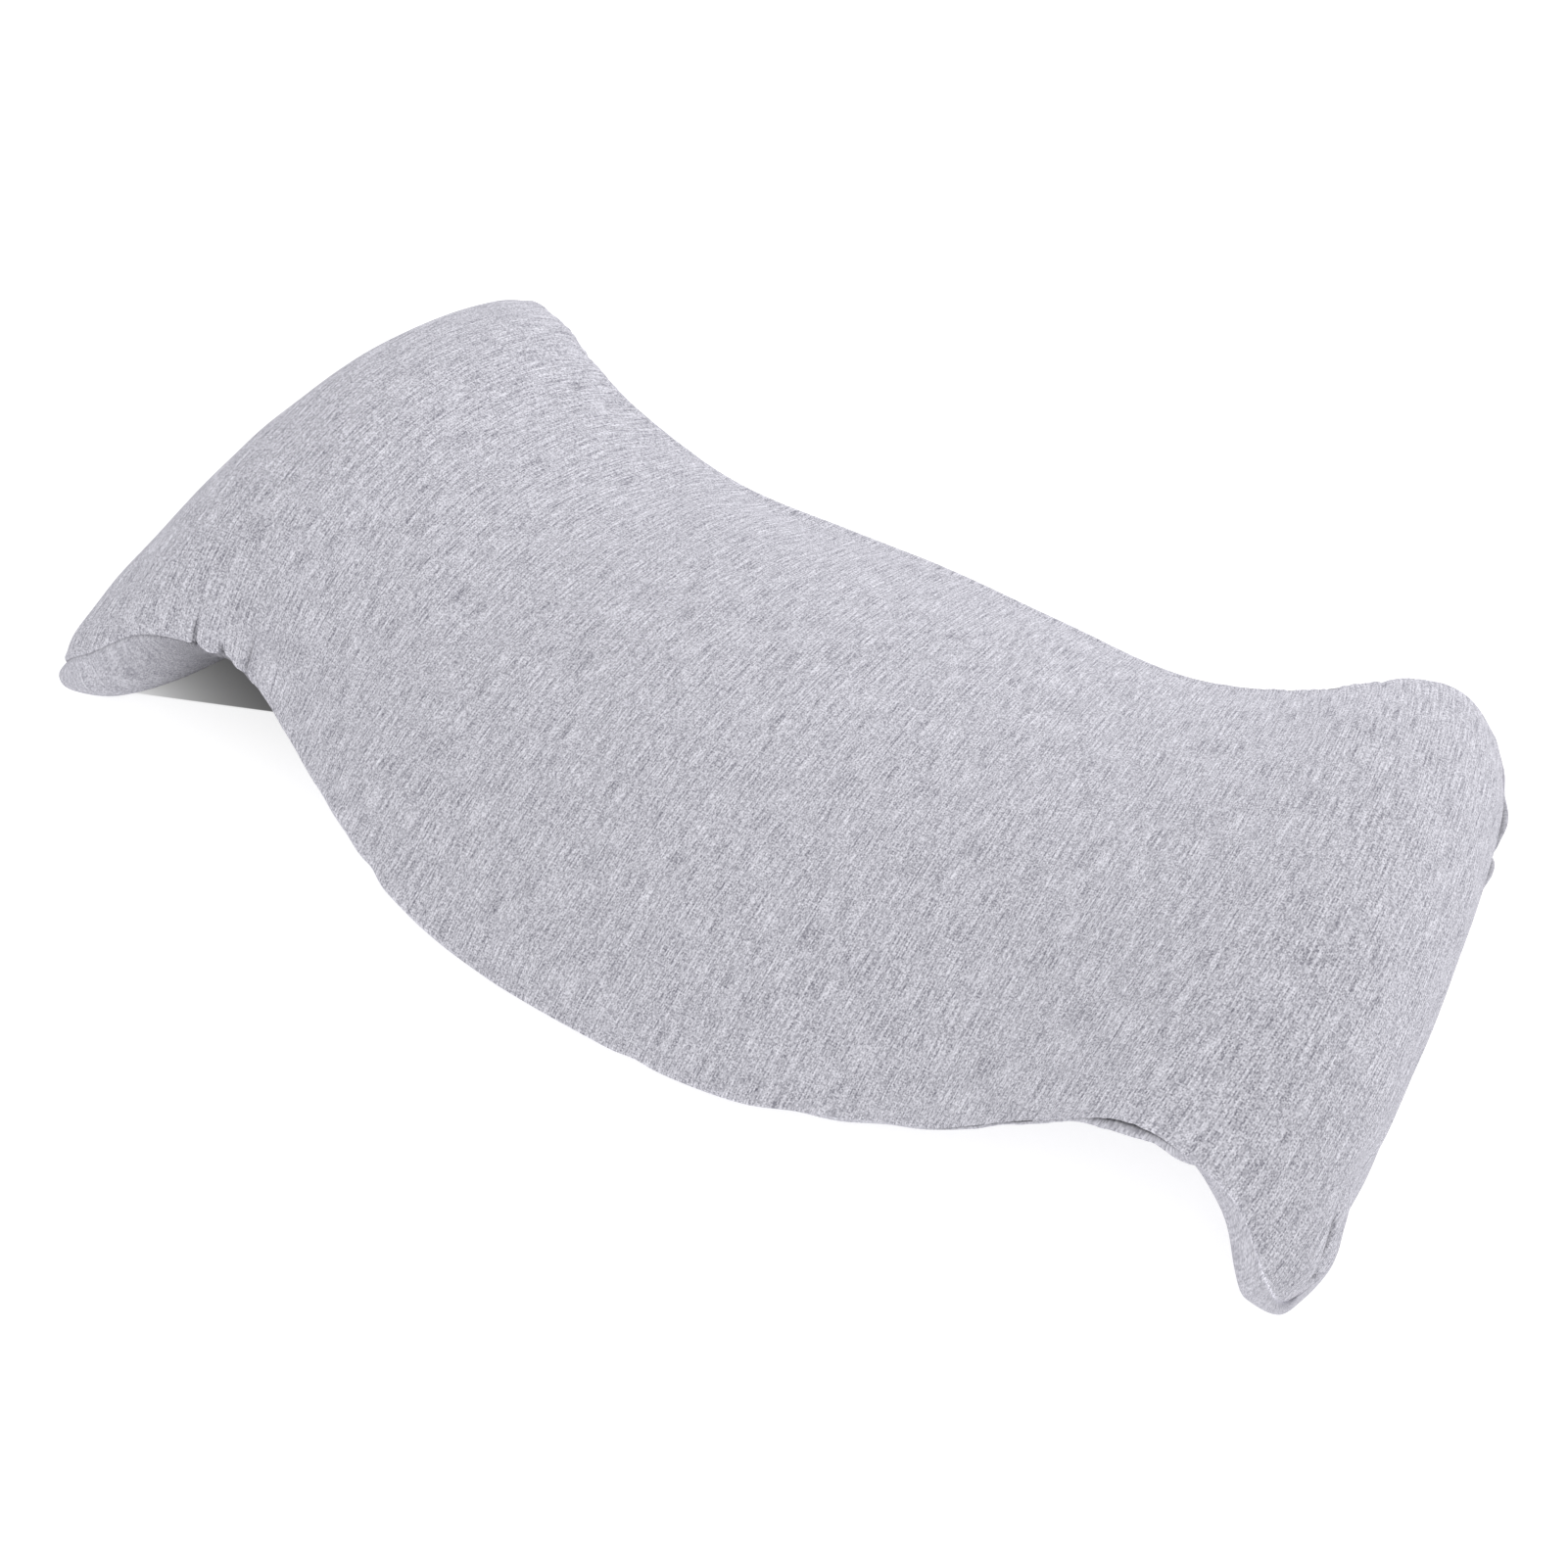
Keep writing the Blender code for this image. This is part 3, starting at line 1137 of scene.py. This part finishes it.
@dataclass(frozen=True)
class Jersey:
    """Knitted cotton jersey of mixed dark and light yarn.

    Its ribs run along the pillow. The mixed yarn gives thin streaks across them, a few long
    ones where a thread runs thick, and the stitches a fine grain. The ribs are about 1 mm
    apart if the pillow is as long as it is taken to be, and are drawn a third coarser. The
    stitches are too fine to make out: the size of their grain is given.

    Attributes:
        name: The material's name.
        dark, light: Colours of the darkest and lightest yarn.
        rib_pitch: Spacing of the ribs.
        rib_share: How much they tell.
        patterns: The mixed yarn and the grain of the stitches.
        loop_size: Width and height of a loop of the knit.
        loop_share: How much the single loops tell.
        pucker_pitch: Spacing of the small puckers that show beside the gathered seam.
        pucker_shade_share: How much darker the painted shade of one of them makes the cloth.
        painted_shade_share: How much darker the painted shade makes it: in the seam, the left hollow
            and the creases.
        bump: Height of the knit, in millimetres.
        noise_roughness: How much the finer layers of a noise tell.
        roughness: Roughness of the cloth, which is matte.
        specular: Level of its gloss, nearly none.
    """

    name: str
    dark: str = "#676671"
    light: str = "#eae9f1"
    rib_pitch: float = 1.3
    rib_share: float = 0.03
    patterns: tuple[Pattern, ...] = (
        #       size       detail power share
        Pattern(1.00, 34.0, 1, 3, 3.2),  # thick threads
        Pattern(0.68, 17.0, 0, 1, 0.52),  # streaks
        Pattern(0.68, 2.6, 0, 1, 0.14),  # flecks of one yarn
        Pattern(0.80, 0.8, 1, 1, 0.16),  # stitches
    )
    loop_size: tuple[float, float] = (0.52, 0.66)
    loop_share: float = 0.52
    pucker_pitch: float = 2.4
    pucker_shade_share: float = 0.18
    painted_shade_share: float = 0.85
    bump: float = 0.08
    noise_roughness: float = 0.6
    roughness: float = 0.95
    specular: float = 0.05

    def noise(
        self, tree: bpy.types.NodeTree, cloth: bpy.types.NodeSocket, pattern: Pattern
    ) -> bpy.types.NodeSocket:
        """Noise stretched along or across the pillow.

        Args:
            tree: The material's node tree.
            cloth: Place on the cloth, in metres.
            pattern: Its size, detail and power.

        Returns:
            A value around zero.
        """
        scale = (1 / (pattern.width * MM), 1 / (pattern.length * MM), 1.0)
        mapped = add_node(tree, "Mapping", {"Vector": cloth, "Scale": scale})
        settings = {"Scale": 1.0, "Detail": pattern.detail, "Roughness": self.noise_roughness}
        settings["Vector"] = mapped.outputs[0]
        blotches = add_node(tree, "TexNoise", settings, noise_dimensions="2D").outputs["Fac"]
        value = add_node(tree, "Math", {0: blotches, 1: 0.5}, operation="SUBTRACT").outputs[0]
        raised = value
        for _ in range(pattern.power - 1):
            raised = add_node(tree, "Math", {0: raised, 1: value}, operation="MULTIPLY").outputs[0]
        return raised

    def loops(self, tree: bpy.types.NodeTree, cloth: bpy.types.NodeSocket) -> bpy.types.NodeSocket:
        """Single loops of the knit, each of an even tone.

        Args:
            tree: The material's node tree.
            cloth: Place on the cloth, in metres.

        Returns:
            A value from -0.5 to 0.5.
        """
        scale = (1 / (self.loop_size[0] * MM), 1 / (self.loop_size[1] * MM), 1.0)
        mapped = add_node(tree, "Mapping", {"Vector": cloth, "Scale": scale}).outputs[0]
        cell = add_node(tree, "VectorMath", {0: mapped}, operation="FLOOR").outputs[0]
        tone = add_node(tree, "TexWhiteNoise", {"Vector": cell}, noise_dimensions="2D").outputs[0]
        return add_node(tree, "Math", {0: tone, 1: 0.5}, operation="SUBTRACT").outputs[0]

    def waves(
        self, tree: bpy.types.NodeTree, place: bpy.types.NodeSocket, pitch: float
    ) -> bpy.types.NodeSocket:
        """A sine wave over the cloth.

        Args:
            tree: The material's node tree.
            place: The coordinate that it follows, in metres.
            pitch: Its length, in millimetres.

        Returns:
            A value from -1 to 1.
        """
        turns = 2 * math.pi / (pitch * MM)
        phase = add_node(tree, "Math", {0: place, 1: turns}, operation="MULTIPLY").outputs[0]
        return add_node(tree, "Math", {0: phase}, operation="SINE").outputs[0]

    def yarn_mix(self, tree: bpy.types.NodeTree, cloth: bpy.types.NodeSocket) -> bpy.types.NodeSocket:
        """Mixes all the patterns of the knit into one.

        Args:
            tree: The material's node tree.
            cloth: Place on the cloth, in metres.

        Returns:
            The share of light yarn, around one half. It can pass 0 and 1, but the mixing of
            the two colours stops there.
        """
        across = add_node(tree, "SeparateXYZ", {0: cloth}).outputs[1]
        parts = [(self.waves(tree, across, self.rib_pitch), self.rib_share)]
        parts += [(self.noise(tree, cloth, pattern), pattern.share) for pattern in self.patterns]
        parts += [(self.loops(tree, cloth), self.loop_share)]
        mixed: bpy.types.NodeSocket | float = 0.5
        for part, share in parts:
            inputs = {0: part, 1: share, 2: mixed}
            mixed = add_node(tree, "Math", inputs, operation="MULTIPLY_ADD").outputs[0]
        return mixed

    def painted_shade_factor(self, tree: bpy.types.NodeTree, cloth: bpy.types.NodeSocket) -> bpy.types.NodeSocket:
        """Painted shade and highlight in the cloth's colour: the seam's line, the left hollow, the
        creases and the small puckers beside the gathered seam.

        Args:
            tree: The material's node tree.
            cloth: Place on the cloth, in metres.

        Returns:
            1 on plain cloth, less in the painted shade of the open seam, the hollow, the creases and
            the puckers of the gathered stretches, and a little more in the painted highlight of the
            closed seam.
        """
        # The seam attribute is painted shade and highlight.
        seam = add_node(tree, "Attribute", attribute_name="seam").outputs["Fac"]
        gathers = add_node(tree, "Attribute", attribute_name="gathers").outputs["Fac"]
        along = add_node(tree, "SeparateXYZ", {0: cloth}).outputs[0]
        # Painted shade of the small puckers along the gathered stretches.
        ticks = self.waves(tree, along, self.pucker_pitch)
        ticks = add_node(tree, "Math", {0: ticks, 1: 0.0}, operation="MAXIMUM").outputs[0]
        ticks = add_node(tree, "Math", {0: ticks, 1: gathers}, operation="MULTIPLY").outputs[0]
        shade: bpy.types.NodeSocket | float = 1.0
        for amount, share in ((seam, self.painted_shade_share), (ticks, self.pucker_shade_share)):
            inputs = {0: amount, 1: -share, 2: shade}
            shade = add_node(tree, "Math", inputs, operation="MULTIPLY_ADD").outputs[0]
        return shade

    def material(self) -> bpy.types.Material:
        """Makes the cloth's material.

        Returns:
            The material: colour and bump both come from one mixed knit pattern.
        """
        material = bpy.data.materials.new(self.name)
        material.use_nodes = True
        tree = material.node_tree
        shader = tree.nodes["Principled BSDF"]
        cloth = add_node(tree, "UVMap", uv_map="cloth").outputs[0]
        mixed = self.yarn_mix(tree, cloth)
        yarns = {0: mixed, 6: linear(self.dark), 7: linear(self.light)}
        yarn = add_node(tree, "Mix", yarns, data_type="RGBA").outputs[2]
        # Painted shade and highlight darken or lighten the yarn's colour.
        shaded = {0: yarn, 3: self.painted_shade_factor(tree, cloth)}
        colour = add_node(tree, "VectorMath", shaded, operation="SCALE")
        knit = {"Height": mixed, "Distance": self.bump * MM, "Strength": 1.0}
        bump = add_node(tree, "Bump", knit)
        tree.links.new(colour.outputs[0], shader.inputs["Base Color"])
        tree.links.new(bump.outputs[0], shader.inputs["Normal"])
        shader.inputs["Roughness"].default_value = self.roughness
        shader.inputs["Specular IOR Level"].default_value = self.specular
        return material


UPPER_JERSEY = Jersey("ribbed_heather_jersey")
LOWER_JERSEY = Jersey(
    "soft_heather_jersey",
    rib_share=0.01,
    patterns=(
        Pattern(1.00, 34.0, 1, 3, 1.5),
        Pattern(0.68, 17.0, 0, 1, 0.3),
        Pattern(0.68, 2.6, 0, 1, 0.12),
        Pattern(0.80, 0.8, 1, 1, 0.22),
    ),
    loop_share=0.34,
    pucker_shade_share=0.08,
    bump=0.06,
)


@dataclass(frozen=True)
class Studio:
    """A pale floor, soft light from all round, and the camera.

    Attributes:
        turn: Angle of the camera round the pillow from the front, in degrees.
        rise: Angle of the camera above the floor.
        distance: Millimetres from the camera's aim to the camera along its own axis.
        aside, above: How far the view is shifted from that aim, in millimetres.
        lens: Focal length for a sensor 36 mm wide.
        clip_end: How far the camera sees, in metres.
        floor_half: Half the floor's width, in metres.
        floor_roughness: Roughness of the floor.
        sky: Strength of the light from all round.
        sky_rim, sky_fall: How much brighter it is at the level of the floor, and how much of
            that is lost towards the top.
        key: Power of the large lamp, in watts.
        key_size: Its width, in metres.
        key_place: Where it stands, in metres.
        paleness: How much light the floor throws back, from 0 to 1.
        glow: Strength of the light that comes up through the white floor.
        shade_corner: Front left corner of the painted shadow under the left arch, in millimetres.
        shade_turn: Angle of its straight front edge from the X axis, in degrees.
        shade_left: X between which it starts, beside the left end of the pillow.
        shade_right: Where it ends along its front edge, as a pair of millimetres.
        shade_front: Millimetres over which its front edge sets in, which is sharp.
        shade_back: Where it ends behind that edge.
        shade_start: Share of the light that is left at the corner.
        shade_reach: Millimetres along the edge over which that falls to a third.
    """

    turn: float = 32.8
    rise: float = 49.02
    distance: float = 1156.7
    aside: float = 7.91
    above: float = 8.43
    lens: float = 57.43
    clip_end: float = 100.0
    floor_half: float = 20.0
    floor_roughness: float = 0.9
    sky: float = 1.1
    sky_rim: float = 1.4
    sky_fall: float = 0.75
    key: float = 11.0
    key_size: float = 1.2
    key_place: tuple[float, float, float] = (0.35, 1.5, 1.1)
    paleness: float = 0.5
    glow: float = 0.66
    shade_corner: tuple[float, float] = (-283.5, -112.0)
    shade_turn: float = 22.6
    shade_left: tuple[float, float] = (-317.0, -304.0)
    shade_right: tuple[float, float] = (115.0, 90.0)
    shade_front: tuple[float, float] = (-0.4, 0.4)
    shade_back: tuple[float, float] = (95.0, 60.0)
    shade_start: float = 0.62
    shade_reach: float = 38.0

    def camera(self) -> None:
        """Places the camera.

        Its aim is the origin of the table of sections, close to the frame's own.
        """
        turn, rise = math.radians(self.turn), math.radians(self.rise)
        level = math.cos(rise)
        back = Vector((math.sin(turn) * level, -math.cos(turn) * level, math.sin(rise)))
        right = Vector((math.cos(turn), math.sin(turn), 0))
        up = back.cross(right)
        start = Vector((0, PillowForm().centre_shift, 0))
        eye = start - self.aside * right - self.above * up + self.distance * back
        data = bpy.data.cameras.new("camera")
        data.lens = self.lens
        data.clip_end = self.clip_end
        camera = bpy.data.objects.new("camera", data)
        axes = Matrix((right, up, back)).transposed().to_4x4()
        camera.matrix_world = Matrix.Translation(eye * MM) @ axes
        bpy.context.scene.collection.objects.link(camera)
        bpy.context.scene.camera = camera

    def floor(self) -> None:
        """Makes the floor, a wide flat square of matte white that is lit from below.

        Under the left arch of the pillow a shadow with a straight front edge is painted into its colour
        and glow.
        """
        mesh = bpy.data.meshes.new("floor")
        half = self.floor_half
        corners = [(-half, -half, 0), (half, -half, 0), (half, half, 0), (-half, half, 0)]
        mesh.from_pydata(corners, [], [(0, 1, 2, 3)])
        floor = bpy.data.objects.new("floor", mesh)
        bpy.context.scene.collection.objects.link(floor)
        material = bpy.data.materials.new("lit_opal_acrylic")
        material.use_nodes = True
        tree = material.node_tree
        shader = tree.nodes["Principled BSDF"]
        # Painted shadow under the left arch, in the floor's colour and glow.
        light = self.painted_floor_shadow(tree)
        grey = add_node(tree, "Math", {0: light, 1: self.paleness}, operation="MULTIPLY")
        glow = add_node(tree, "Math", {0: light, 1: self.glow}, operation="MULTIPLY")
        tree.links.new(grey.outputs[0], shader.inputs["Base Color"])
        tree.links.new(glow.outputs[0], shader.inputs["Emission Strength"])
        shader.inputs["Roughness"].default_value = self.floor_roughness
        shader.inputs["Emission Color"].default_value = (1, 1, 1, 1)
        mesh.materials.append(material)

    def painted_floor_shadow(self, tree: bpy.types.NodeTree) -> bpy.types.NodeSocket:
        """Share of the light that the floor gives: all of it, but less in the shadow painted under the
        left arch.

        In the painted shadow it is start * exp(-(along + behind) / reach), where along and behind
        are distances from the shadow's corner, along its straight front edge and square to it.
        Where their sum is below about -3.4 m, far in front of the pillow, the exponential
        overflows: the share is no number there, and that floor turns dark, as can be seen
        from behind and low down. A lower limit on the sum would mend it.

        Args:
            tree: The floor's node tree.

        Returns:
            The share: 1 outside the painted shadow, apart from that far floor.
        """
        place = add_node(tree, "TexCoord").outputs["Object"]
        corner = (self.shade_corner[0] * MM, self.shade_corner[1] * MM, 0)
        turn = (0, 0, math.radians(self.shade_turn))
        turned = {"Vector": place, "Location": corner, "Rotation": turn}
        placed = add_node(tree, "Mapping", turned, vector_type="TEXTURE").outputs[0]
        axes = add_node(tree, "SeparateXYZ", {0: placed}).outputs
        room = add_node(tree, "SeparateXYZ", {0: place}).outputs
        shade: bpy.types.NodeSocket | float = 1.0
        limits = (
            (room[0], self.shade_left),
            (axes[0], self.shade_right),
            (axes[1], self.shade_front),
            (axes[1], self.shade_back),
        )
        for axis, (outside, inside) in limits:
            edges = {"Value": axis, "From Min": outside * MM, "From Max": inside * MM}
            step = add_node(tree, "MapRange", edges, interpolation_type="SMOOTHSTEP").outputs[0]
            shade = add_node(tree, "Math", {0: step, 1: shade}, operation="MULTIPLY").outputs[0]
        far = add_node(tree, "Math", {0: axes[0], 1: axes[1]}, operation="ADD").outputs[0]
        fall = add_node(tree, "Math", {0: far, 1: -1 / (self.shade_reach * MM)}, operation="MULTIPLY")
        fading = add_node(tree, "Math", {0: fall.outputs[0]}, operation="EXPONENT").outputs[0]
        left = {0: fading, 1: self.shade_start, 2: -1.0}
        less = add_node(tree, "Math", left, operation="MULTIPLY_ADD").outputs[0]
        inputs = {0: shade, 1: less, 2: 1.0}
        return add_node(tree, "Math", inputs, operation="MULTIPLY_ADD").outputs[0]

    def lights(self) -> None:
        """Lights the pillow from all round, more from the sides than from above, and from behind.

        The light from all round has the strength sky times (rim - fall * height), where
        height is the sine of the angle above the floor.
        """
        world = bpy.data.worlds.new("studio")
        world.use_nodes = True
        tree = world.node_tree
        direction = add_node(tree, "TexCoord").outputs["Generated"]
        height = add_node(tree, "SeparateXYZ", {0: direction}).outputs[2]
        inputs = {0: height, 1: -self.sky * self.sky_fall, 2: self.sky * self.sky_rim}
        strength = add_node(tree, "Math", inputs, operation="MULTIPLY_ADD").outputs[0]
        tree.links.new(strength, tree.nodes["Background"].inputs["Strength"])
        tree.nodes["Background"].inputs["Color"].default_value = (1, 1, 1, 1)
        bpy.context.scene.world = world
        data = bpy.data.lights.new("key", "AREA")
        data.energy = self.key
        data.size = self.key_size
        lamp = bpy.data.objects.new("key", data)
        lamp.location = self.key_place
        direction = -lamp.location
        lamp.rotation_mode = "QUATERNION"
        lamp.rotation_quaternion = direction.to_track_quat("-Z", "Y")
        bpy.context.scene.collection.objects.link(lamp)

    def build(self) -> None:
        """Makes the floor, the lights and the camera, and shows colours as they are."""
        bpy.context.scene.view_settings.view_transform = "Standard"
        self.floor()
        self.lights()
        self.camera()


def main() -> None:
    """Builds the studio and the cover, and reports each piece."""
    logging.basicConfig(level=logging.INFO)
    Studio().build()
    LOG.info("studio ready")
    pillow = PillowCover()
    cover = pillow.build()
    pillow.dress(cover, (UPPER_JERSEY, LOWER_JERSEY))
    LOG.info("%s: %d faces", cover.name, len(cover.data.polygons))


if __name__ == "__main__":
    main()
